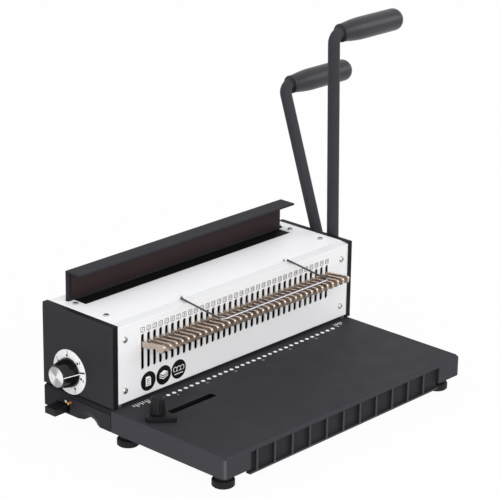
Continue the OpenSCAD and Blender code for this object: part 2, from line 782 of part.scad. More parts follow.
module closer_bar() color([0.28, 0.28, 0.3]) {
    block([-wall_half, wall_y, yoke_low], [wall_half, wall_y + wall_t, wall_step]);
    block([-wall_half, wall_y, yoke_low], [wall_end, wall_y + wall_t, closer_top]);
    block([-wall_half, wall_y + wall_t - flange_d, closer_top - flange_t],
        [flange_end, wall_y + wall_t, closer_top]);
    // Rack plates that reach forward under the closer shaft
    both_ends() across(closer_rack_x - rack_w / 2, closer_rack_x + rack_w / 2) {
        strip_top = closer_z + closer_stroke + 6;
        translate([strip_front, yoke_low]) square([wall_y + 1 - strip_front, yoke_high - yoke_low]);
        translate([strip_front, yoke_low])
            square([strip_y - 1.25 * closer_module - strip_front, strip_top - yoke_low]);
        rack_teeth(closer_module, strip_y, closer_z, rack_over + 2, closer_stroke + 2);
    }
    // Lug that comes down to the dial's stop cam
    block([-cam_x, lug_y, lug_low], [-cam_x + cam_t + 1, wall_y + 1, lug_low + lug_h]);
}

module magnet_strip() color([0.24, 0.17, 0.18])
    block([-magnet_half, magnet_y, magnet_low], [magnet_end, wall_y, closer_top - flange_t]);

module closer_anvil() color([0.1, 0.1, 0.1]) {
    block([-frame_x, anvil_front, anvil_low], [frame_x, anvil_back, anvil_low + anvil_foot]);
    block([-anvil_half, anvil_front, anvil_low], [anvil_half, anvil_back, top_z - 0.4]);
}

module dial_knob() color([0.08, 0.08, 0.08]) {
    foot_x = left_x + 1.3;
    face_x = foot_x + knob_l;
    mirror([1, 0, 0]) translate([0, dial_y, dial_z]) {
        rotate([0, 90, 0]) translate([0, 0, foot_x]) rotate_extrude() polygon([
            [0, 0], [knob_r, 0], [knob_r, 2], [knob_face_r + 0.6, knob_l - 1.2],
            [knob_face_r, knob_l], [0, knob_l]
        ]);
        bar_x(cam_x - cam_t, foot_x + 1, 0, 0, spindle_r);
        bar_x(cam_x - cam_t, cam_x, 0, -3, cam_reach - 3);
    }
}

// Quarter ring of the wire rest's rod around (x, y)
module rod_bend(x, y, r, turn) {
    translate([x, y, 0]) rotate(turn) rotate_extrude(angle = 90) translate([r, 0]) circle(r = rest_r);
}

// Rod bent in one plane that falls from the hinge at y = 0 to the front rod
module wire_rest() color([0.3, 0.3, 0.3]) {
    run_y = pivot_y + rest_out;
    reach = norm([run_y, rest_fall]);
    left = -rest_left;
    right = rest_right;
    translate([0, pivot_y, pivot_z]) rotate([atan(rest_fall / run_y), 0, 0]) {
        bar_x(left + front_bend, right - front_bend, -reach, 0, rest_r);
        rod_bend(left + front_bend, front_bend - reach, front_bend, 180);
        rod_bend(right - front_bend, front_bend - reach, front_bend, 270);
        for (x = [left, right]) bar_y(front_bend - reach, -end_bend, x, 0, rest_r);
        rod_bend(left + end_bend, -end_bend, end_bend, 90);
        rod_bend(right - end_bend, -end_bend, end_bend, 0);
        bar_x(left + end_bend, left + ear_in + ear_t + rod_past, 0, 0, rest_r);
        bar_x(right - ear_in - ear_t - rod_past, right - end_bend, 0, 0, rest_r);
    }
}

module side_guide() color([0.13, 0.13, 0.13]) translate([guide_x, -guide_y, table_z]) {
    under = -table_t - slide_gap;
    translate([0, 0, run]) linear_extrude(guide_foot_h) polygon(guide_foot_r * foot_corners);
    stem_w = guide_slot_w - 2 * slide_gap;
    translate([-4, -stem_w / 2, under - 1]) cube([8, stem_w, table_t + 2]);
    translate([-7, -8, under - 3]) cube([14, 16, 3]);
    cylinder(h = guide_foot_h + stud_h, r = stud_r);
}

module guide_knob() color([0.13, 0.13, 0.13])
    translate([guide_x, -guide_y, table_z + guide_foot_h + run + slide_gap]) difference() {
        rotate_extrude() polygon([
            [0, 0], [guide_knob_r, 0], [guide_knob_r, 2], [guide_knob_r * 0.83, guide_knob_h - 1.5],
            [guide_knob_r * 0.65, guide_knob_h], [0, guide_knob_h]
        ]);
        for (a = [0 : 30 : 330]) rotate(a)
            translate([guide_knob_r * 0.86, -0.8, 2.5]) cube([guide_knob_r, 1.6, guide_knob_h]);
        translate([0, 0, -1]) cylinder(h = stud_h + 1.5, r = stud_r + run);
    }

module margin_slider() color([0.1, 0.1, 0.1]) {
    half = margin_w / 2;
    post_half = post_w / 2;
    stop_low = table_z + slide_gap;
    // Finger block outside the base, and its shank in the base
    block([base_x0 - margin_l, margin_y - half, margin_z],
        [base_x0 - slide_gap, margin_y + half, margin_z + margin_h]);
    block([base_x0 - 1, margin_y - post_half, margin_z],
        [post_x + post_half, margin_y + post_half, margin_z + margin_h - 1]);
    // Post and arm that carry the paper stop
    block([post_x - post_half, margin_y - post_half, margin_z],
        [post_x + post_half, margin_y + post_half, stop_low + stop_h]);
    block([post_x - post_half, stop_y, stop_low], [post_x + post_half, margin_y, stop_low + stop_h]);
    block([post_x - post_half, stop_y, stop_low], [die_half, stop_y + 3, stop_low + stop_h]);
}

module chip_tray() color([0.27, 0.27, 0.29]) {
    z0 = foot_h + floor_t + slide_gap;
    z1 = tray_top - free_gap;
    y0 = tray_y0 + slide_gap;
    y1 = tray_y0 + tray_w - slide_gap;
    difference() {
        union() {
            block([base_x0, panel_y0 + panel_gap, foot_h],
                [base_x0 + panel_t, panel_y1 - slide_gap, foot_h + panel_h]);
            block([base_x0 + 1, y0, z0], [tray_x1, y1, z1]);
        }
        block([base_x0 + scoop_x + tray_wall, y0 + tray_wall, z0 + tray_wall],
            [tray_x1 - tray_wall, y1 - tray_wall, z1 + 1]);
        block([base_x0 + panel_t, scoop_y - scoop_w / 2, z0 - 1],
            [base_x0 + scoop_x, scoop_y + scoop_w / 2, z1 - tray_wall]);
        translate([base_x0 - 1, scoop_y, foot_h + scoop_h - scoop_r]) rotate([0, 90, 0])
            cylinder(h = panel_t + 2, r1 = scoop_r + scoop_rim + scoop_slope, r2 = scoop_r - scoop_slope);
    }
}

place() base();
place() rubber_feet();
place() side_frames();
place() left_side_cover();
place() right_side_cover();
place() front_cover();
place() rear_cover();
place() cover_screws();
place() punch_die();
place() punch_ram();
place() punch_pins();
place() punch_shaft();
place() punch_lever();
place() punch_grip();
place() closer_shaft();
place() closer_lever();
place() closer_grip();
place() closer_bar();
place() magnet_strip();
place() closer_anvil();
place() dial_knob();
place() wire_rest();
place() side_guide();
place() guide_knob();
place() margin_slider();
place() chip_tray();
for (i = [0 : holes - 1]) place() pin_pull(i);
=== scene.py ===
# %% [markdown]
# # A desk machine that punches paper and closes wire loops
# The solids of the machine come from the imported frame: base, covers, levers, closing bar, pulls and the
# mechanism inside. This lesson gives them their finishes and adds what is too thin or too fine to be a solid
# there: the dial's plate and cap, the printed marks, and the smooth grips. Each step says what the piece is on
# the real machine and why it is made this way.

# %% Load the frame and set up places in millimetres
import math

import bmesh
import bpy
from mathutils import Matrix, Vector


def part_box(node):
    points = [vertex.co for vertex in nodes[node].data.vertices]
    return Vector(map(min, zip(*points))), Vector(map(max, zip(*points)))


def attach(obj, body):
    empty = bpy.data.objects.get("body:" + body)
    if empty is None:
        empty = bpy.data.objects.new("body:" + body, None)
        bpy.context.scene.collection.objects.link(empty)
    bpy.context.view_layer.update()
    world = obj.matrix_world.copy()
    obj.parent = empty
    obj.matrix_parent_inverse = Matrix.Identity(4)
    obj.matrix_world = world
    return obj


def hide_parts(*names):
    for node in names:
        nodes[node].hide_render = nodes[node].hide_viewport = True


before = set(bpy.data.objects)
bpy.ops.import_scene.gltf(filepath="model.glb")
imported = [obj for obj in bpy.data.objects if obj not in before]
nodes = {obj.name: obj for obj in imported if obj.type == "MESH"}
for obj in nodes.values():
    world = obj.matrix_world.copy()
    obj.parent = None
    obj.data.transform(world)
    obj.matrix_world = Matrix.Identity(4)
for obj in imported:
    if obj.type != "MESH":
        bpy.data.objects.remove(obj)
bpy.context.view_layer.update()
cover_low, cover_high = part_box("front_cover")
base_low, base_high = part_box("base")
middle_x = (cover_low.x + cover_high.x) / 2
face_y = cover_low.y
table_z = base_high.z


def at(x, y, z):
    """Millimetres from the middle of the cover's face, with z above the table, as a point of the frame."""
    return Vector((middle_x + x / 1000, face_y + y / 1000, table_z + z / 1000))


# %% [markdown]
# ## Camera
# The picture is taken from the machine's front left corner, a little above it, through a long lens that keeps the
# edges nearly parallel. A camera can be placed by eye, but here its place, turn and small roll are known numbers,
# so the rotation is built straight from its three axes.

# %% Camera
scene = bpy.context.scene
camera_place = at(-1523.46, -1424.85, 879.39)
turn, rise, roll = (math.radians(v) for v in (-47.2205, 19.9069, 0.8107))
back = Vector((math.sin(turn) * math.cos(rise), -math.cos(turn) * math.cos(rise), math.sin(rise)))
level = Vector((math.cos(turn), math.sin(turn), 0))
upright = back.cross(level)
right = math.cos(roll) * level + math.sin(roll) * upright
top = math.cos(roll) * upright - math.sin(roll) * level

lens = bpy.data.cameras.new("long_lens")
lens.lens = 154.31
lens.sensor_width = 36
lens.clip_end = 100
camera = bpy.data.objects.new("camera", lens)
scene.collection.objects.link(camera)
camera.matrix_world = Matrix.Translation(camera_place) @ Matrix((right, top, back)).transposed().to_4x4()
scene.camera = camera
print("camera at", [round(v, 3) for v in camera_place])

# %% [markdown]
# ## Sky and floor
# A product picture has a white ground and soft light from above. A sky that is brighter overhead gives that light
# and fills the shadows. The floor and sky are shown white to the camera and in reflections, so that no lamp has to
# burn them out, and the floor keeps a soft shadow. Two small helpers add nodes and join them, here and in every
# finish.


# %% Helpers: add a node, join sockets, and find the rays that are seen
def add(tree, kind, operation=None, **values):
    """A new node with its operation, and with values for its inputs by name, where _ stands for a space."""
    made = tree.nodes.new(kind)
    if operation:
        made.operation = operation
    for label, value in values.items():
        made.inputs[label.replace("_", " ")].default_value = value
    return made


def join(tree, *pairs):
    """Links each pair of an output and an input."""
    for start, end in pairs:
        tree.links.new(start, end)


def seen_rays(tree):
    """Output that is 1 for what the camera, mirrors and glass see, and 0 for light that falls on the machine."""
    rays = add(tree, "ShaderNodeLightPath")
    mirrored = add(tree, "ShaderNodeMath", "MAXIMUM")
    seen = add(tree, "ShaderNodeMath", "MAXIMUM")
    join(tree, (rays.outputs["Is Glossy Ray"], mirrored.inputs[0]),
         (rays.outputs["Is Transmission Ray"], mirrored.inputs[1]),
         (rays.outputs["Is Camera Ray"], seen.inputs[0]), (mirrored.outputs[0], seen.inputs[1]))
    return seen.outputs[0]


# %% Sky
scene.view_settings.view_transform = "Standard"
sky = bpy.data.worlds.new("studio")
sky.use_nodes = True
scene.world = sky
sky_tree = sky.node_tree
sky_low, sky_high = 0.32, 1.30
glow = sky_tree.nodes["Background"]
glow.inputs["Color"].default_value = (0.98, 0.985, 1.0, 1)
direction = add(sky_tree, "ShaderNodeTexCoord")
height = add(sky_tree, "ShaderNodeSeparateXYZ")
overhead = add(sky_tree, "ShaderNodeMapRange", To_Min=sky_low, To_Max=sky_high)
shown = add(sky_tree, "ShaderNodeBackground", Color=(1, 1, 1, 1), Strength=1.0)
choose = add(sky_tree, "ShaderNodeMixShader")
join(sky_tree, (direction.outputs["Generated"], height.inputs[0]), (height.outputs["Z"], overhead.inputs["Value"]),
     (overhead.outputs["Result"], glow.inputs["Strength"]), (seen_rays(sky_tree), choose.inputs[0]),
     (glow.outputs[0], choose.inputs[1]), (shown.outputs[0], choose.inputs[2]),
     (choose.outputs[0], sky_tree.nodes["World Output"].inputs["Surface"]))
print("sky:", sky_low, "to", sky_high)

# %% Floor
floor_half, white_share = 14, 0.965
floor_corners = [(x * floor_half, y * floor_half, 0) for x, y in ((-1, -1), (1, -1), (1, 1), (-1, 1))]
floor_mesh = bpy.data.meshes.new("floor")
floor_mesh.from_pydata(floor_corners, [], [(0, 1, 2, 3)])
floor = bpy.data.objects.new("floor", floor_mesh)
scene.collection.objects.link(floor)
paper = bpy.data.materials.new("white_paper")
paper.use_nodes = True
floor_mesh.materials.append(paper)
paper_tree = paper.node_tree
matte = paper_tree.nodes["Principled BSDF"]
matte.inputs["Base Color"].default_value = (0.65, 0.65, 0.65, 1)
matte.inputs["Roughness"].default_value = 1.0
matte.inputs["Specular IOR Level"].default_value = 0.0
white = add(paper_tree, "ShaderNodeEmission")
share = add(paper_tree, "ShaderNodeMath", "MULTIPLY")
share.inputs[1].default_value = white_share
blend = add(paper_tree, "ShaderNodeMixShader")
join(paper_tree, (seen_rays(paper_tree), share.inputs[0]), (matte.outputs[0], blend.inputs[1]),
     (white.outputs[0], blend.inputs[2]), (blend.outputs[0], paper_tree.nodes["Material Output"].inputs["Surface"]))
print("floor:", 2 * floor_half, "m wide")

# %% [markdown]
# Deep under the machine no light reaches the floor, which is seen there only through the guide's slot. A white
# floor would glow through it, so the white fades out inside a rectangle that lies well within the base's outline.

# %% Unlit floor under the machine
shade_middle, shade_half, shade_fade = at(-22, -27.5, 0), Vector((0.142, 0.0725, 0)), 0.02
floor_spot = add(paper_tree, "ShaderNodeTexCoord")
offset = add(paper_tree, "ShaderNodeVectorMath", "SUBTRACT")
offset.inputs[1].default_value = shade_middle
each_way = add(paper_tree, "ShaderNodeVectorMath", "ABSOLUTE")
past = add(paper_tree, "ShaderNodeVectorMath", "SUBTRACT")
past.inputs[1].default_value = shade_half
past_xy = add(paper_tree, "ShaderNodeSeparateXYZ")
farther = add(paper_tree, "ShaderNodeMath", "MAXIMUM")
open_floor = add(paper_tree, "ShaderNodeMapRange", From_Min=-shade_fade, From_Max=0.0)
open_floor.interpolation_type = "SMOOTHSTEP"
lit_share = add(paper_tree, "ShaderNodeMath", "MULTIPLY")
join(paper_tree, (floor_spot.outputs["Object"], offset.inputs[0]), (offset.outputs[0], each_way.inputs[0]),
     (each_way.outputs[0], past.inputs[0]), (past.outputs[0], past_xy.inputs[0]),
     (past_xy.outputs["X"], farther.inputs[0]), (past_xy.outputs["Y"], farther.inputs[1]),
     (farther.outputs[0], open_floor.inputs["Value"]), (open_floor.outputs["Result"], lit_share.inputs[0]),
     (share.outputs[0], lit_share.inputs[1]), (lit_share.outputs[0], blend.inputs[0]))
print("unlit floor in mm:", [round(2000 * v) for v in shade_half.xy])

# %% [markdown]
# ## Lamps
# One wide sun near the camera makes the front as bright as the top. It gives the same light on the whole machine,
# which lamps close to it would not. A second, weaker sun from the right draws the long highlights on the grips, and
# one small low lamp lifts the corner nearest the camera.


# %% Lamps
def lamp(name, kind, energy, direction):
    """A lamp that shines from a direction."""
    holder = bpy.data.objects.new(name, bpy.data.lights.new(name, kind))
    holder.data.energy = energy
    holder.rotation_mode = "QUATERNION"
    holder.rotation_quaternion = Vector(direction).to_track_quat("Z", "Y")
    scene.collection.objects.link(holder)
    return holder


key = lamp("key", "SUN", 1.28, (-0.50, -0.75, 0.42))
side = lamp("side", "SUN", 0.55, (0.69, -0.64, 0.36))
for sun in (key, side):
    sun.data.angle = math.radians(30)
corner = lamp("corner", "AREA", 0.3, (-0.78, -0.62, 0.0))
corner.data.size = 0.25
corner.location = at(-520, -400, -5)
print("lamps:", {holder.name: round(holder.data.energy, 2) for holder in (key, side, corner)})

# %% [markdown]
# ## Shared effects
# Every finish on this machine needs the same things: a fine grain, slow changes of tone over the surface, edges
# that aren't knife sharp, and sometimes painted light and shade on the faces that look one way or lie in one place,
# such as a painted highlight on a corner or painted shade inside the cover. Image textures would need unwrapping, so
# these are node groups that read Object coordinates in metres, or the surface's own direction. Each group is built
# once and takes its own values in each finish.


# %% Grain group: height of the fine grain and slow changes of tone
def effect_group(name, inputs, outputs):
    """An empty shader group with named sockets, and its two ends."""
    tree = bpy.data.node_groups.new(name, "ShaderNodeTree")
    for label, kind, value in inputs:
        tree.interface.new_socket(label, in_out="INPUT", socket_type=kind).default_value = value
    for label, kind in outputs:
        tree.interface.new_socket(label, in_out="OUTPUT", socket_type=kind)
    return tree, tree.nodes.new("NodeGroupInput"), tree.nodes.new("NodeGroupOutput")


grain, grain_in, grain_out = effect_group(
    "grain",
    [("Cell", "NodeSocketVector", (0.0007, 0.0007, 0.0007)), ("Patch", "NodeSocketFloat", 0.03)],
    [("Height", "NodeSocketFloat"), ("Tone", "NodeSocketFloat")],
)
where = add(grain, "ShaderNodeTexCoord")
fine = add(grain, "ShaderNodeVectorMath", "DIVIDE")
speckle = add(grain, "ShaderNodeTexNoise", Scale=1.0, Detail=3.0)
inverse = add(grain, "ShaderNodeMath", "DIVIDE")
inverse.inputs[0].default_value = 1.0
coarse = add(grain, "ShaderNodeVectorMath", "SCALE")
cloud = add(grain, "ShaderNodeTexNoise", Scale=1.0, Detail=4.0)
spread = add(grain, "ShaderNodeMapRange", From_Min=0.3, From_Max=0.7)
join(grain, (where.outputs["Object"], fine.inputs[0]), (grain_in.outputs["Cell"], fine.inputs[1]),
     (fine.outputs[0], speckle.inputs["Vector"]), (speckle.outputs["Fac"], grain_out.inputs["Height"]),
     (grain_in.outputs["Patch"], inverse.inputs[1]), (where.outputs["Object"], coarse.inputs[0]),
     (inverse.outputs[0], coarse.inputs["Scale"]), (coarse.outputs[0], cloud.inputs["Vector"]),
     (cloud.outputs["Fac"], spread.inputs["Value"]), (spread.outputs["Result"], grain_out.inputs["Tone"]))
print("grain group:", len(grain.nodes), "nodes")

# %% Edge group: soft edges, and a mask of where they are
edges, edges_in, edges_out = effect_group(
    "soft_edges",
    [("Radius", "NodeSocketFloat", 0.0006)],
    [("Edge", "NodeSocketFloat"), ("Normal", "NodeSocketVector")],
)
rounded = add(edges, "ShaderNodeBevel")
rounded.samples = 6
surface = add(edges, "ShaderNodeNewGeometry")
alike = add(edges, "ShaderNodeVectorMath", "DOT_PRODUCT")
pick = add(edges, "ShaderNodeMapRange", From_Min=0.97, From_Max=0.80)
join(edges, (edges_in.outputs["Radius"], rounded.inputs["Radius"]), (rounded.outputs["Normal"], alike.inputs[0]),
     (surface.outputs["Normal"], alike.inputs[1]), (alike.outputs["Value"], pick.inputs["Value"]),
     (pick.outputs["Result"], edges_out.inputs["Edge"]), (rounded.outputs["Normal"], edges_out.inputs["Normal"]))
print("edge group:", len(edges.nodes), "nodes")

# %% Facing group: a mask of the faces that look along one direction
facing, facing_in, facing_out = effect_group(
    "facing",
    [("Direction", "NodeSocketVector", (0.0, 0.0, 1.0)), ("From", "NodeSocketFloat", 0.4),
     ("Full", "NodeSocketFloat", 0.8)],
    [("Mask", "NodeSocketFloat")],
)
outward = add(facing, "ShaderNodeTexCoord")
along = add(facing, "ShaderNodeVectorMath", "DOT_PRODUCT")
limit = add(facing, "ShaderNodeMapRange")
join(facing, (outward.outputs["Normal"], along.inputs[0]), (facing_in.outputs["Direction"], along.inputs[1]),
     (along.outputs["Value"], limit.inputs["Value"]), (facing_in.outputs["From"], limit.inputs["From Min"]),
     (facing_in.outputs["Full"], limit.inputs["From Max"]), (limit.outputs["Result"], facing_out.inputs["Mask"]))
print("facing group:", len(facing.nodes), "nodes")

# %% Inside group: a mask of what lies inside a box
inside, inside_in, inside_out = effect_group(
    "inside",
    [("Low", "NodeSocketVector", (0.0, 0.0, 0.0)), ("High", "NodeSocketVector", (1.0, 1.0, 1.0))],
    [("Mask", "NodeSocketFloat")],
)
point = add(inside, "ShaderNodeTexCoord")
above = add(inside, "ShaderNodeVectorMath", "SUBTRACT")
below = add(inside, "ShaderNodeVectorMath", "SUBTRACT")
nearest = add(inside, "ShaderNodeVectorMath", "MINIMUM")
depths = add(inside, "ShaderNodeSeparateXYZ")
flatwise = add(inside, "ShaderNodeMath", "MINIMUM")
least = add(inside, "ShaderNodeMath", "MINIMUM")
within = add(inside, "ShaderNodeMath", "GREATER_THAN")
within.inputs[1].default_value = 0.0
join(inside, (point.outputs["Object"], above.inputs[0]), (inside_in.outputs["Low"], above.inputs[1]),
     (inside_in.outputs["High"], below.inputs[0]), (point.outputs["Object"], below.inputs[1]),
     (above.outputs[0], nearest.inputs[0]), (below.outputs[0], nearest.inputs[1]),
     (nearest.outputs[0], depths.inputs[0]), (depths.outputs["X"], flatwise.inputs[0]),
     (depths.outputs["Y"], flatwise.inputs[1]), (flatwise.outputs[0], least.inputs[0]),
     (depths.outputs["Z"], least.inputs[1]), (least.outputs[0], within.inputs[0]),
     (within.outputs[0], inside_out.inputs["Mask"]))
print("inside group:", len(inside.nodes), "nodes")

# %% [markdown]
# ## Finishes
# The machine has powder-coated sheet and castings, satin and gloss plastic, rubber, bare steel and printing. They
# differ in colour, gloss, grain size and in how much their edges are lightened, partly as wear and partly as a
# painted highlight, so one helper lays the same few nodes and each finish gives its own values. What is the same all
# over a surface is set on the shader itself.


# %% Helpers that lay the nodes of a finish
def even(size):
    """A grain cell of the same size in all directions."""
    return size, size, size


def use(tree, group, **values):
    """A shared effect in a finish, with its own values."""
    made = tree.nodes.new("ShaderNodeGroup")
    made.node_tree = group
    for label, value in values.items():
        made.inputs[label].default_value = value
    return made


def colour_mix(tree, **colours):
    """A mix of the colours A and B."""
    made = tree.nodes.new("ShaderNodeMix")
    made.data_type = "RGBA"
    for label, colour in colours.items():
        made.inputs[label].default_value = (*colour, 1)
    return made


def finish(name, colour, rough, *, metal=0.0, cell=even(0.0007), depth=0.00003, patch=0.03, tone=0.05, edge=0.0006,
           wear_and_sheen_colour=None, wear_and_sheen=0.25, specular=0.5, coat=0.0, spread=0.05):
    """A material with grain, changes of tone and roughness, and edges lightened to another colour: partly wear,
    partly a painted highlight.
    """
    material = bpy.data.materials.new(name)
    material.use_nodes = True
    tree = material.node_tree
    shader = tree.nodes["Principled BSDF"]
    for label, value in (("Metallic", metal), ("Specular IOR Level", specular), ("Coat Weight", coat),
                         ("Coat Roughness", 0.06)):
        shader.inputs[label].default_value = value
    spots = use(tree, grain, Cell=cell, Patch=patch)
    rim = use(tree, edges, Radius=edge)
    shade = colour_mix(tree, A=[c * (1 - tone) for c in colour], B=[min(1, c * (1 + tone)) for c in colour])
    # The edges are lightened towards another colour: partly wear, partly a painted highlight on the rounded edges.
    wear_and_sheen_mask = add(tree, "ShaderNodeMath", "MULTIPLY")
    wear_and_sheen_mask.inputs[1].default_value = wear_and_sheen
    paint = colour_mix(tree, B=wear_and_sheen_colour or [min(1, 1.6 * c) for c in colour])
    gloss = add(tree, "ShaderNodeMapRange", To_Min=max(0.02, rough - spread), To_Max=min(1.0, rough + spread))
    bumps = add(tree, "ShaderNodeBump", Strength=0.6, Distance=depth)
    join(tree, (spots.outputs["Tone"], shade.inputs["Factor"]), (shade.outputs["Result"], paint.inputs["A"]),
         (rim.outputs["Edge"], wear_and_sheen_mask.inputs[0]), (wear_and_sheen_mask.outputs[0], paint.inputs["Factor"]),
         (paint.outputs["Result"], shader.inputs["Base Color"]), (spots.outputs["Tone"], gloss.inputs["Value"]),
         (gloss.outputs["Result"], shader.inputs["Roughness"]), (spots.outputs["Height"], bumps.inputs["Height"]),
         (rim.outputs["Normal"], bumps.inputs["Normal"]), (bumps.outputs["Normal"], shader.inputs["Normal"]))
    return material


# %% [markdown]
# Some finishes carry painted light and shade. The cover's inside is painted dark as painted shade, and its fold is
# painted a little greyer as painted shade. The base is painted paler on its top, front and left faces as painted
# light, with a painted highlight on its nearest corner and on the fronts of its ribs, and darker in its bays, its
# slot and on its side under the dial as painted shade. A second material on those faces would change the solids'
# slots, so a mask mixes the other tone into the same finish.


# %% Helpers for painted light and shade, and for putting a finish on solids
def tint(material, mask, colour):
    """Lays a colour over a finish where a mask is."""
    tree = material.node_tree
    target = tree.nodes["Principled BSDF"].inputs["Base Color"]
    over = colour_mix(tree, B=colour)
    join(tree, (mask.outputs["Mask"], over.inputs["Factor"]), (target.links[0].from_socket, over.inputs["A"]),
         (over.outputs["Result"], target))


def second_tone(material, colour, *directions, start=0.4, full=0.8):
    """Paints light and shade: mixes another colour into a finish on the faces that look along any of the directions.
    """
    for direction in directions:
        tint(material, use(material.node_tree, facing, Direction=direction, From=start, Full=full), colour)


def shaded_place(material, colour, low, high):
    """Paints shade or light inside a box: mixes another colour into a finish there, such as painted shade in a slot
    that little light reaches.
    """
    tint(material, use(material.node_tree, inside, Low=low, High=high), colour)


def dress(*finishes):
    """Puts each finish on the carried-over solids that are named after it."""
    for material, *names in finishes:
        for name in names:
            for place in nodes[name].material_slots:
                place.material = material
    return len(finishes)


# %% Paint on the base
base_paint = finish("base_paint", (0.026, 0.0245, 0.029), 0.55, cell=even(0.0009), depth=0.00005, edge=0.0012,
                    wear_and_sheen_colour=(0.075, 0.073, 0.082), wear_and_sheen=0.35, specular=0.08)
# Painted light: the top, front and left faces are painted paler than the rest, and a narrow band on the front left
# corner is a painted highlight.
second_tone(base_paint, (0.031, 0.0292, 0.0352), (0, 0, 1))
second_tone(base_paint, (0.041, 0.039, 0.046), (0, -1, 0))
second_tone(base_paint, (0.054, 0.052, 0.061), (-1, 0, 0))
second_tone(base_paint, (0.095, 0.092, 0.102), (-0.64, -0.77, 0), start=0.95, full=1.0)
base_front = 1000 * (base_low.y - face_y)
ribs_left, ribs_right, ribs_foot, ribs_head = -149.3, 142.4, -45, -3.8
# Painted shade in the bays, on the side under the dial and in the guide's slot, and painted light on the fronts of
# the ribs.
painted_light_and_shade_boxes = {
    "bays between the ribs": ((0.023, 0.0217, 0.025), at(ribs_left, base_front + 0.9, ribs_foot),
                              at(ribs_right, base_front + 4.3, ribs_head)),
    "fronts of the ribs": ((0.056, 0.054, 0.061), at(ribs_left, base_front + 0.1, ribs_foot),
                           at(ribs_right, base_front + 0.9, ribs_head)),
    "side under the dial": ((0.020, 0.019, 0.022), at(-190, -1, -45), at(-160, 110, -0.1)),
    "guide's slot": ((0.002, 0.002, 0.002), at(-170, -47.8, -20), at(-80, -39.0, -0.3)),
}
for colour, low, high in painted_light_and_shade_boxes.values():
    shaded_place(base_paint, colour, low, high)
dress((base_paint, "base"))
print("base paint, with other tones in:", ", ".join(painted_light_and_shade_boxes))

# %% Paint on the covers, levers and closing bar
side_paint = finish("side_cover_paint", (0.031, 0.0295, 0.033), 0.5, wear_and_sheen_colour=(0.05, 0.05, 0.055), wear_and_sheen=0.3,
                    specular=0.08)
# Painted shade: the rounded bevels that look forward and up are painted near black.
second_tone(side_paint, (0.009, 0.0085, 0.0095), (0, -1, 0), (0, 0, 1), start=0.8, full=0.95)
cover_paint = finish("cover_paint", (0.83, 0.83, 0.84), 0.42, cell=even(0.0008), depth=0.00002, patch=0.08,
                     tone=0.012, edge=0.0011, wear_and_sheen_colour=(0.93, 0.93, 0.93), wear_and_sheen=0.8, specular=0.2)
rear_paint = cover_paint.copy()
rear_paint.name = "rear_cover_paint"
# Painted shade: the cover's inside and its downward faces are painted near black.
second_tone(cover_paint, (0.012, 0.012, 0.012), (0, 1, 0), (0, 0, -1))
# Painted shade: the narrow fold between the top and the front is painted greyer.
second_tone(cover_paint, (0.68, 0.68, 0.69), (0, -0.171, 0.985), start=0.990, full=0.997)
lever_paint = finish("lever_paint", (0.043, 0.041, 0.048), 0.5, cell=even(0.0008), edge=0.0008, specular=0.08)
closer_paint = finish("closer_paint", (0.027, 0.0257, 0.031), 0.55, cell=even(0.0008), edge=0.0012,
                      wear_and_sheen_colour=(0.07, 0.07, 0.08), wear_and_sheen=0.4, specular=0.06)
anvil_paint = finish("anvil_paint", (0.006, 0.006, 0.006), 0.6, cell=even(0.0008), specular=0.05)
paints = dress((side_paint, "left_side_cover", "right_side_cover"), (cover_paint, "front_cover"),
               (rear_paint, "rear_cover"), (lever_paint, "punch_lever", "closer_lever"),
               (closer_paint, "closer_bar"), (anvil_paint, "closer_anvil"))
print("other paints:", paints)

# %% Plastic and rubber
tray_plastic = finish("tray_plastic", (0.025, 0.0235, 0.028), 0.5, cell=even(0.0005), specular=0.12)
guide_plastic = finish("guide_plastic", (0.008, 0.008, 0.009), 0.38, cell=even(0.0004), edge=0.0004,
                       wear_and_sheen_colour=(0.04, 0.04, 0.042), wear_and_sheen=0.4, specular=0.2)
grip_plastic = finish("grip_plastic", (0.020, 0.0185, 0.0245), 0.38, cell=even(0.0004), depth=0.00002, edge=0.0004,
                      specular=0.34)
dial_plastic = finish("dial_plastic", (0.004, 0.004, 0.0045), 0.12, cell=even(0.0006), depth=0.000005, edge=0.0004,
                      coat=0.15, specular=0.3, spread=0.03)
foot_rubber = finish("foot_rubber", (0.008, 0.008, 0.009), 0.6, cell=even(0.0004), depth=0.00005, specular=0.2)
magnet = finish("magnet", (0.026, 0.0145, 0.0165), 0.45, cell=(0.02, 0.0006, 0.0006), patch=0.05, tone=0.15,
                edge=0.0004, specular=0.15)
plastics = dress((tray_plastic, "chip_tray"), (guide_plastic, "side_guide", "guide_knob", "margin_slider"),
                 (dial_plastic, "dial_knob"), (foot_rubber, "rubber_feet"), (magnet, "magnet_strip"))
print("plastics and rubbers on solids:", plastics)

# %% Steel
pull_names = [name for name in nodes if name.startswith("pin_pull_")]
pull_steel = finish("pull_steel", (0.60, 0.50, 0.42), 0.30, metal=1.0, cell=(0.0004, 0.004, 0.0004), depth=0.00002,
                    patch=0.02, tone=0.10, edge=0.0004, wear_and_sheen_colour=(0.80, 0.72, 0.64), wear_and_sheen=0.5)
rest_steel = finish("rest_steel", (0.10, 0.10, 0.104), 0.28, metal=1.0, cell=even(0.004), depth=0.00001, tone=0.1,
                    edge=0.0003)
# Painted light: the wire's forward faces are painted much lighter than the rest.
second_tone(rest_steel, (0.47, 0.47, 0.51), (0, -1, 0), start=0.2, full=0.5)
screw_steel = finish("screw_steel", (0.58, 0.57, 0.56), 0.22, metal=1.0, cell=even(0.0006), depth=0.00001,
                     edge=0.0002)
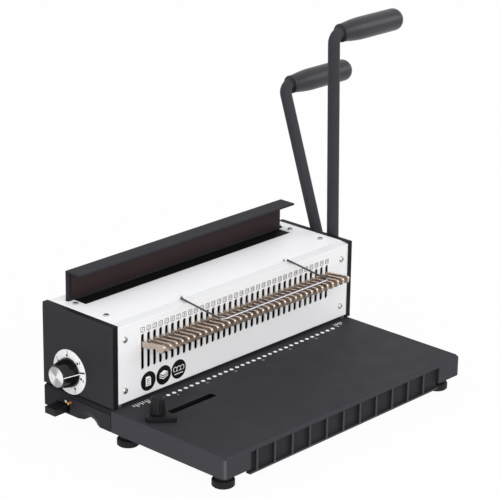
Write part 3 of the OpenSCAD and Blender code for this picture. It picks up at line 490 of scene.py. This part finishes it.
# Painted shade: the upward faces of the screw heads are painted dark.
second_tone(screw_steel, (0.10, 0.095, 0.09), (0, 0, 1), start=0.8, full=0.98)
frame_steel = finish("frame_steel", (0.30, 0.30, 0.305), 0.45, metal=1.0, cell=(0.0006, 0.006, 0.0006), edge=0.0004)
tool_steel = finish("tool_steel", (0.007, 0.0068, 0.0066), 0.5, cell=(0.006, 0.0005, 0.0005), edge=0.0004,
                    specular=0.06)
shaft_steel = finish("shaft_steel", (0.32, 0.32, 0.325), 0.35, metal=1.0, cell=(0.0003, 0.003, 0.003), edge=0.0003)
steels = dress((pull_steel, *pull_names), (rest_steel, "wire_rest"), (screw_steel, "cover_screws"),
               (frame_steel, "side_frames"), (tool_steel, "punch_die", "punch_ram", "punch_pins"),
               (shaft_steel, "punch_shaft", "closer_shaft"))
print("steels:", steels, "pulls:", len(pull_names))


# %% Printing inks
def ink_of(name, colour, rough=0.5, **more):
    """A smooth, even finish for print."""
    return finish(name, colour, rough, cell=even(0.0003), depth=0.000005, edge=0.0001, **more)


white_ink = ink_of("white_ink", (0.90, 0.90, 0.90), tone=0.02)
grey_ink = ink_of("grey_ink", (0.018, 0.018, 0.02))
black_ink = ink_of("black_ink", (0.006, 0.006, 0.006), 0.45, specular=0.1)
pale_ink = ink_of("pale_ink", (0.42, 0.42, 0.43))
print("inks:", [ink.name for ink in (white_ink, grey_ink, black_ink, pale_ink)])

# %% [markdown]
# ## Helpers for pieces
# A finished piece is a plain mesh whose object sits at the origin, with its place in its points, like the solids.
# Turned parts such as the grips and the dial are drawn once as a profile and spun around an axis.


# %% Helpers: keep a mesh as a piece, and turn a profile
def keep(name, mesh, material, body):
    """A finished piece that rides on a body."""
    mesh.materials.clear()
    mesh.materials.append(material)
    piece = bpy.data.objects.new(name, mesh)
    scene.collection.objects.link(piece)
    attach(piece, body)
    return piece


def turned(name, profile, centre, axis, steps=72, sharp=40):
    """Mesh of a profile of (distance along the axis, radius) in millimetres, spun around the axis."""
    axis = Vector(axis)
    side = axis.orthogonal().normalized()
    other = axis.cross(side)
    turns = [2 * math.pi * k / steps for k in range(steps)]
    spokes = [side * math.cos(t) + other * math.sin(t) for t in turns]
    shape = bmesh.new()
    rings = []
    for along, radius in profile:
        spot = centre + axis * along / 1000
        around = spokes if radius else [Vector()]
        rings.append([shape.verts.new(spot + spoke * radius / 1000) for spoke in around])
    for a, b in zip(rings, rings[1:]):
        for k in range(steps):
            corners = [a[k % len(a)], a[(k + 1) % len(a)], b[(k + 1) % len(b)], b[k % len(b)]]
            shape.faces.new([v for i, v in enumerate(corners) if v not in corners[:i]])
    bmesh.ops.recalc_face_normals(shape, faces=shape.faces)
    mesh = bpy.data.meshes.new(name)
    shape.to_mesh(mesh)
    shape.free()
    mesh.shade_smooth()
    mesh.set_sharp_from_angle(angle=math.radians(sharp))
    return mesh


# %% [markdown]
# ## Grips
# The grips are moulded sleeves: a thin collar where the lever enters, a waist, a slow swell and a round end. The
# solids have the same form with a few straight steps, so a finer profile is spun here and stands for them. It is
# drawn with a sine swell, which has no corner where the palm lies.


# %% Grips
def grip_mesh(node):
    """Mesh of a grip as long and as thick as its solid."""
    low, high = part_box(node)
    length = 1000 * (high.x - low.x)
    widest = 1000 * (high.z - low.z) / 2
    centre = Vector((low.x, (low.y + high.y) / 2, (low.z + high.z) / 2))
    bore, bore_depth, neck, tip = 5.05, 70.3, 0.8 * widest, 0.8 * widest
    collar = [(along, neck + more) for along, more in (
        (0, -0.6), (0.3, -0.1), (0.8, 0.25), (2.0, 0.25), (2.5, -0.1), (2.8, -0.45), (3.5, -0.45), (3.9, -0.05))]
    waist, belly, parts = 4.4, 0.36 * length, 24
    swell = [(waist + (belly - waist) * k / parts, neck + (widest - neck) * math.sin(math.pi / 2 * k / parts))
             for k in range(parts + 1)]
    turns = [math.radians(d) for d in range(6, 90, 6)]
    end = [(length - tip + tip * math.sin(t), widest - tip + tip * math.cos(t)) for t in turns]
    profile = [(bore_depth, 0), (bore_depth, bore), (0, bore), *collar, *swell, (length - tip, widest), *end,
               (length, widest - tip), (length, 0)]
    return turned(node, profile, centre, (1, 0, 0), steps=96)


for node, body in (("punch_grip", "punch_lever_set"), ("closer_grip", "closer_lever_set")):
    piece = keep(node.replace("_", "_sleeve_"), grip_mesh(node), grip_plastic, body)
    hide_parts(node)
    print(piece.name, len(piece.data.polygons), "faces")

# %% [markdown]
# ## Dial
# The dial has a white plate screwed to the side, a gloss knob with a white pointer line, and a cap of turned
# aluminium. The plate and the cap are profiles spun around the knob's axis. The cap's turning grooves are far too
# fine to model. They are a pattern of rings in the normals, and the bright fan that such grooves reflect is a
# painted
# highlight: a mask of the angle around the cap's centre mixes a pale and a dark grey into the cap's colour.

# %% Dial plate
knob_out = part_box("dial_knob")[0].x
side_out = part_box("left_side_cover")[0].x
hub = Vector((side_out, *at(0, 59.42, 24.9).yz))
plate_profile = [(0, 6), (0.7, 6), (1.0, 6.3), (1.0, 23.4), (0.75, 23.8), (0, 23.8), (0, 6)]
plate_mesh = turned("dial_plate", plate_profile, hub, (-1, 0, 0), steps=120)
plate = keep("dial_plate", plate_mesh, white_ink, "frame")
print("dial plate:", len(plate.data.polygons), "faces")

# %% Cap with turning grooves and a painted highlight fan
cap_centre = Vector((knob_out, hub.y, hub.z))
cap_profile = [(-0.8, 0), (-0.8, 10.7), (0.04, 10.8), (0.1, 10.6), (0.1, 0)]
cap_metal = finish("cap_aluminium", (0.62, 0.62, 0.63), 0.24, metal=1.0, cell=even(0.004), depth=0.00001,
                   patch=0.01, tone=0.04, edge=0.0002)
tree = cap_metal.node_tree
cap_shader = tree.nodes["Principled BSDF"]
spot = add(tree, "ShaderNodeTexCoord")
centred = add(tree, "ShaderNodeMapping", Location=-cap_centre)
rings = add(tree, "ShaderNodeTexWave", Scale=700, Distortion=0.3)
rings.wave_type = "RINGS"
rings.rings_direction = "X"
grooves = add(tree, "ShaderNodeBump", Distance=0.00006, Strength=0.9)
sides = add(tree, "ShaderNodeSeparateXYZ")
around = add(tree, "ShaderNodeMath", "ARCTAN2")
# Painted highlight: a fan of pale and dark sectors, set by the angle around the cap's centre.
fan_beams, fan_turn = 2, math.radians(40)
twice = add(tree, "ShaderNodeMath", "MULTIPLY_ADD")
twice.inputs[1].default_value = fan_beams
twice.inputs[2].default_value = fan_turn
wave = add(tree, "ShaderNodeMath", "COSINE")
fan_highlight_mask = add(tree, "ShaderNodeMapRange", From_Min=-0.8, From_Max=0.8)
fan_highlight_mask.interpolation_type = "SMOOTHSTEP"
painted_fan_highlight = colour_mix(tree, A=(0.38, 0.38, 0.39), B=(0.90, 0.90, 0.91))
join(tree, (spot.outputs["Object"], centred.inputs["Vector"]), (centred.outputs["Vector"], rings.inputs["Vector"]),
     (rings.outputs["Fac"], grooves.inputs["Height"]), (grooves.outputs["Normal"], cap_shader.inputs["Normal"]),
     (centred.outputs["Vector"], sides.inputs[0]), (sides.outputs["Z"], around.inputs[0]),
     (sides.outputs["Y"], around.inputs[1]), (around.outputs[0], twice.inputs[0]),
     (twice.outputs[0], wave.inputs[0]), (wave.outputs[0], fan_highlight_mask.inputs["Value"]),
     (fan_highlight_mask.outputs["Result"], painted_fan_highlight.inputs["Factor"]), (painted_fan_highlight.outputs["Result"], cap_shader.inputs["Base Color"]))
cap_mesh = turned("dial_cap", cap_profile, cap_centre, (-1, 0, 0), steps=96)
cap = keep("dial_cap", cap_mesh, cap_metal, "dial")
print("dial cap:", len(cap.data.polygons), "faces")

# %% [markdown]
# The pointer is a painted line that runs from the cap down the knob to its rim. It could be a texture, but the
# knob is a carried-over solid, so a thin strip that follows the knob's profile is laid on it.

# %% Pointer line
knob_foot = side_out - 0.0013
knob_length = 1000 * (knob_foot - knob_out)
pointer_turn, line_half, sunk, proud = math.radians(9), 0.45, -0.15, 0.12
strip_path = [(knob_length, 10.7), (knob_length, 11.4), (knob_length - 1.2, 12.0), (2.0, 15.8), (0.0, 15.8)]
strip = bmesh.new()
rows = []
for along, radius in strip_path:
    rows.append([])
    for out in (sunk, proud):
        for wide in (-line_half, line_half):
            t = pointer_turn + wide / radius
            r = (radius + out) / 1000
            place = (knob_foot - along / 1000, hub.y - r * math.cos(t), hub.z + r * math.sin(t))
            rows[-1].append(strip.verts.new(place))
for a, b in zip(rows, rows[1:]):
    for i, j in ((0, 1), (1, 3), (3, 2), (2, 0)):
        strip.faces.new((a[i], a[j], b[j], b[i]))
for row in (rows[0], rows[-1]):
    strip.faces.new((row[0], row[1], row[3], row[2]))
bmesh.ops.recalc_face_normals(strip, faces=strip.faces)
pointer_mesh = bpy.data.meshes.new("dial_pointer")
strip.to_mesh(pointer_mesh)
strip.free()
pointer = keep("dial_pointer", pointer_mesh, white_ink, "dial")
print("pointer:", len(pointer.data.polygons), "faces")

# %% [markdown]
# ## Printed marks
# The cover carries a number over each slot, and the table a dot before each hole. Printing has almost no
# thickness, so each mark is a sheet a tenth of a millimetre thick on the surface that carries it. Marks that repeat
# come from Geometry Nodes: a line of points, one shape on each point, made real at the end.


# %% Helpers: run a node tree once, and make its parts
def node_tree(name, inputs):
    """An empty Geometry Nodes tree with named inputs and one geometry output."""
    tree = bpy.data.node_groups.new(name, "GeometryNodeTree")
    for label, kind in inputs:
        tree.interface.new_socket(label, in_out="INPUT", socket_type="NodeSocket" + kind)
    tree.interface.new_socket("Geometry", in_out="OUTPUT", socket_type="NodeSocketGeometry")
    return tree, tree.nodes.new("NodeGroupInput"), tree.nodes.new("NodeGroupOutput")


def settle(tree, points, shape, source, end):
    """Puts the shape on the points, makes the copies real and gives them their ink."""
    copies = add(tree, "GeometryNodeInstanceOnPoints")
    real = add(tree, "GeometryNodeRealizeInstances")
    ink = add(tree, "GeometryNodeSetMaterial")
    join(tree, (points, copies.inputs["Points"]), (shape, copies.inputs["Instance"]),
         (copies.outputs["Instances"], real.inputs["Geometry"]), (real.outputs["Geometry"], ink.inputs["Geometry"]),
         (source.outputs["Ink"], ink.inputs["Material"]), (ink.outputs["Geometry"], end.inputs["Geometry"]))


def grow(name, tree, values, material, body):
    """Runs a tree once and keeps the result as a plain mesh."""
    seed = bpy.data.objects.new(name + "_seed", bpy.data.meshes.new(name + "_seed"))
    scene.collection.objects.link(seed)
    grower = seed.modifiers.new("grow", "NODES")
    grower.node_group = tree
    for item in tree.interface.items_tree:
        if item.in_out == "INPUT":
            grower[item.identifier] = {**values, "Ink": material}[item.name]
    mesh = bpy.data.meshes.new_from_object(seed.evaluated_get(bpy.context.evaluated_depsgraph_get()))
    mesh.name = name
    bpy.data.objects.remove(seed)
    return keep(name, mesh, material, body)


# %% Dots on the table, one before each hole
holes, pitch, print_thickness = len(pull_names), 8.467, 0.0001
first_hole = -(holes - 1) / 2 * pitch
dots, dots_in, dots_out = node_tree("row_of_dots", [
    ("Count", "Int"), ("First", "Vector"), ("Step", "Vector"), ("Radius", "Float"), ("Thickness", "Float"),
    ("Ink", "Material")])
line = add(dots, "GeometryNodeMeshLine")
disc = add(dots, "GeometryNodeMeshCylinder", Vertices=28)
given = dots_in.outputs
join(dots, (given["Count"], line.inputs["Count"]), (given["First"], line.inputs["Start Location"]),
     (given["Step"], line.inputs["Offset"]), (given["Radius"], disc.inputs["Radius"]),
     (given["Thickness"], disc.inputs["Depth"]))
settle(dots, line.outputs["Mesh"], disc.outputs["Mesh"], dots_in, dots_out)
grow("hole_dots", dots, {
    "Count": holes, "First": at(first_hole - 1.3, -12, 0.05), "Step": (pitch / 1000, 0, 0),
    "Radius": 0.0022, "Thickness": print_thickness}, white_ink, "frame")
print("table dots:", holes)

# %% [markdown]
# The numbers are set in Blender's own font, turned to a mesh and stood up on the cover's face. On the table every
# fifth dot has its count, laid flat.


# %% Numbers over the slots and counts on the table
def lettering(name, words, place, right, up, height, thickness=0.1):
    """Mesh of a number that faces right x up, centred on a place, with its height in millimetres."""
    text = bpy.data.curves.new(name, "FONT")
    text.body = words
    text.align_x = "CENTER"
    text.align_y = "CENTER"
    text.size = 1.4 * height / 1000
    text.extrude = thickness / 2000
    text.resolution_u = 3
    holder = bpy.data.objects.new(name, text)
    mesh = bpy.data.meshes.new_from_object(holder)
    bpy.data.objects.remove(holder)
    right, up = Vector(right), Vector(up)
    mesh.transform(Matrix.Translation(place) @ Matrix((right, up, right.cross(up))).transposed().to_4x4())
    return mesh


def joined(name, meshes):
    """One mesh of several."""
    both = bmesh.new()
    for mesh in meshes:
        both.from_mesh(mesh)
        bpy.data.meshes.remove(mesh)
    bmesh.ops.remove_doubles(both, verts=both.verts, dist=1e-7)
    bmesh.ops.recalc_face_normals(both, faces=both.faces)
    mesh = bpy.data.meshes.new(name)
    both.to_mesh(mesh)
    both.free()
    return mesh


number_z, number_height, count_y, count_height = 75.0, 2.7, -18.4, 2.6
numbers = joined("slot_numbers", [
    lettering("number", str(i + 1), at(first_hole + i * pitch, -0.05, number_z), (1, 0, 0), (0, 0, 1),
              number_height)
    for i in range(holes)])
keep("slot_numbers", numbers, grey_ink, "frame")
counts = joined("table_counts", [
    lettering("count", str(i), at(first_hole + (i - 1) * pitch - 1.8, count_y, 0.05), (1, 0, 0), (0, 1, 0),
              count_height)
    for i in range(5, holes, 5)])
keep("table_counts", counts, pale_ink, "frame")
print("numbers:", len(numbers.polygons), "faces, counts:", len(counts.polygons), "faces")

# %% [markdown]
# Each number has a thin frame. The frames repeat, so they come from a node tree: a rectangle with slightly round
# corners, swept by a narrow profile.

# %% Frames around the numbers
frames, frames_in, frames_out = node_tree("row_of_frames", [
    ("Count", "Int"), ("First", "Vector"), ("Step", "Vector"), ("Width", "Float"), ("Height", "Float"),
    ("Corner", "Float"), ("Stroke", "Float"), ("Ink", "Material")])
line = add(frames, "GeometryNodeMeshLine")
outline = add(frames, "GeometryNodeCurvePrimitiveQuadrilateral")
corners = add(frames, "GeometryNodeFilletCurve")
corners.mode = "POLY"
corners.inputs["Count"].default_value = 5
nib = add(frames, "GeometryNodeCurvePrimitiveQuadrilateral", Height=print_thickness)
sweep = add(frames, "GeometryNodeCurveToMesh")
stand = add(frames, "GeometryNodeTransform", Rotation=(math.pi / 2, 0, 0))
given = frames_in.outputs
join(frames, (given["Count"], line.inputs["Count"]), (given["First"], line.inputs["Start Location"]),
     (given["Step"], line.inputs["Offset"]), (given["Width"], outline.inputs["Width"]),
     (given["Height"], outline.inputs["Height"]), (given["Corner"], corners.inputs["Radius"]),
     (given["Stroke"], nib.inputs["Width"]), (outline.outputs["Curve"], corners.inputs["Curve"]),
     (corners.outputs["Curve"], sweep.inputs["Curve"]), (nib.outputs["Curve"], sweep.inputs["Profile Curve"]),
     (sweep.outputs["Mesh"], stand.inputs["Geometry"]))
settle(frames, line.outputs["Mesh"], stand.outputs["Geometry"], frames_in, frames_out)
number_frames = grow("number_frames", frames, {
    "Count": holes, "First": at(first_hole, -0.05, number_z), "Step": (pitch / 1000, 0, 0), "Width": 0.0049,
    "Height": 0.0048, "Corner": 0.0005, "Stroke": 0.00055}, grey_ink, "frame")
print("frames:", len(number_frames.data.polygons), "faces")

# %% [markdown]
# ## Dial print
# The dial's plate carries a dot and a plain number for each wire size, and one line that shows where the pointer
# closes it fully. A picture on the plate would blur close up, so they are flat shapes on the plate's face, placed by
# their angle around the knob.


# %% Dial print
def on_plate(turn, radius):
    """Point of the plate's face at an angle up from the front."""
    return hub + Vector((-0.00105, 0, 0)) + Vector((0, -radius * math.cos(turn), radius * math.sin(turn))) / 1000


def boxed(name, corners):
    """Mesh of a box from its eight corners, of which the third direction changes first."""
    shape = bmesh.new()
    ends = [shape.verts.new(place) for place in corners]
    for loop in ((0, 1, 3, 2), (4, 6, 7, 5), (0, 4, 5, 1), (2, 3, 7, 6), (0, 2, 6, 4), (1, 5, 7, 3)):
        shape.faces.new([ends[i] for i in loop])
    mesh = bpy.data.meshes.new(name)
    shape.to_mesh(mesh)
    shape.free()
    return mesh


sizes, step, first_turn, zero_turn = 6, math.radians(54), math.radians(154), math.radians(13)
dot_radius, figure_radius, figure_height = 17.8, 21.0, 3.4
dial_marks = []
for k in range(sizes):
    turn = first_turn - k * step
    dot_place = on_plate(turn, dot_radius) + Vector((0.00005, 0, 0))
    dial_marks.append(turned("mark", [(0, 0), (0, 1.3), (0.1, 1.3), (0.1, 0)], dot_place, (-1, 0, 0), steps=20))
    figure_place = on_plate(turn - 0.06, figure_radius)
    dial_marks.append(lettering("figure", str(k + 1), figure_place, (0, -1, 0), (0, 0, 1), figure_height))
dial_marks.append(boxed("zero_line", [
    on_plate(zero_turn, r) + Vector((x, -w * math.sin(zero_turn), -w * math.cos(zero_turn)))
    for r in (15.9, 23.5) for w in (-0.0008, 0.0008) for x in (-0.00005, 0.00005)]))
dial_print = keep("dial_print", joined("dial_print", dial_marks), black_ink, "frame")
print("dial print:", len(dial_print.data.polygons), "faces")

# %% [markdown]
# ## Discs on the cover
# Three black discs near the lower left corner carry plain signs: a sheet, a stack of sheets and wire loops. The font
# has no such signs, so each is a few flat outlines, raised by a tenth of a millimetre from the disc.


# %% Helpers: flat shapes from outlines
def flat(outlines, place, y0, y1):
    """Mesh of outlines of (right, up) millimetres around a place on the cover's face, from y0 to y1."""
    shape = bmesh.new()
    for outline in outlines:
        ends = [[shape.verts.new(at(place[0] + u, y, place[1] + v)) for u, v in outline] for y in (y0, y1)]
        shape.faces.new(ends[0])
        shape.faces.new(ends[1])
        for k in range(len(outline)):
            n = (k + 1) % len(outline)
            shape.faces.new((ends[0][k], ends[0][n], ends[1][n], ends[1][k]))
    bmesh.ops.recalc_face_normals(shape, faces=shape.faces)
    mesh = bpy.data.meshes.new("flat")
    shape.to_mesh(mesh)
    shape.free()
    return mesh


def bar_of(u, v, w, h):
    """Outline of a bar around its middle."""
    return [(u - w / 2, v - h / 2), (u + w / 2, v - h / 2), (u + w / 2, v + h / 2), (u - w / 2, v + h / 2)]


def hoop(u, v, r, stroke, gap=0.6):
    """A loop with a narrow gap at its foot, as one outline."""
    turns = [math.radians(-90) + gap / 2 + (2 * math.pi - gap) * k / 28 for k in range(29)]
    outer = [(u + r * math.cos(t), v + r * math.sin(t)) for t in turns]
    inner = [(u + (r - stroke) * math.cos(t), v + (r - stroke) * math.sin(t)) for t in reversed(turns)]
    return outer + inner


# %% Discs and their signs
disc_z, disc_r = 17.0, 10.4
disc_places = [(x, disc_z) for x in (-132.1, -110.2, -88.7)]
disc_profile = [(0, 0), (0, disc_r), (0.1, disc_r), (0.12, disc_r - 0.05), (0.12, 0)]
discs = joined("sign_discs", [turned("disc", disc_profile, at(x, 0, z), (0, -1, 0)) for x, z in disc_places])
keep("sign_discs", discs, black_ink, "frame")

sheet = [[(-3.6, -5.2), (3.6, -5.2), (3.6, 3.0), (1.4, 5.2), (-3.6, 5.2)]]
sheet_lines = [bar_of(-0.2, 2.2 - 1.9 * k, 4.2, 0.7) for k in range(4)]
stack = [[(-6, 2.6), (0, 0), (6, 2.6), (0, 5.2)]] + [
    [(-6, 0.9 - d), (0, -1.7 - d), (6, 0.9 - d), (6, 2.0 - d), (0, -0.6 - d), (-6, 2.0 - d)] for d in (0.6, 2.9)]
loops = [hoop(u, 0.8, 3.0, 0.8) for u in (-5.0, 0.0, 5.0)] + [bar_of(0, -4.6, 12, 0.9)]
signs = joined("signs", [flat(s, p, -0.13, -0.2) for s, p in zip((sheet, stack, loops), disc_places)])
keep("signs", signs, white_ink, "frame")
keep("sign_lines", flat(sheet_lines, disc_places[0], -0.21, -0.26), black_ink, "frame")
print("discs:", len(disc_places), "signs:", len(signs.polygons), "faces")

# %% [markdown]
# ## Scale ticks and margin marks
# At both ends of the row of dots the table has a short printed scale for centring paper, and beside the margin
# slider three small coloured dots show its places. They are few and uneven, so each is made by itself, as a thin bar
# or a turned disc, and not by a node tree.

# %% Scale ticks
tick_step, tick_width, tick_back, tick_high = 3.4, 1.0, -5, 0.1
ticks = []
for first, lengths in ((-160, (4, 7, 4, 6, 4, 8, 4)), (147, (8, 4, 6, 4))):
    for k, length in enumerate(lengths):
        left = first + tick_step * k
        ticks.append(boxed("tick", [at(x, y, z) for x in (left, left + tick_width)
                                    for y in (tick_back - length, tick_back) for z in (0, tick_high)]))
keep("scale_ticks", joined("scale_ticks", ticks), white_ink, "frame")
print("ticks:", len(ticks))

# %% Margin marks
margin_dots = (("white", (0.80, 0.80, 0.76), 65.3, -9.2), ("yellow", (0.75, 0.52, 0.05), 61.7, -10.5),
               ("red", (0.62, 0.10, 0.02), 58.4, -8.3))
for label, colour, y, z in margin_dots:
    spot = Vector((base_low.x, *at(0, y, z).yz))
    mesh = turned("dot", [(0, 0), (0, 1.5), (0.1, 1.45), (0.1, 0)], spot, (-1, 0, 0), steps=28)
    keep("margin_dot_" + label, mesh, ink_of(label + "_dot_ink", colour, 0.45), "frame")
print("margin dots:", len(margin_dots))
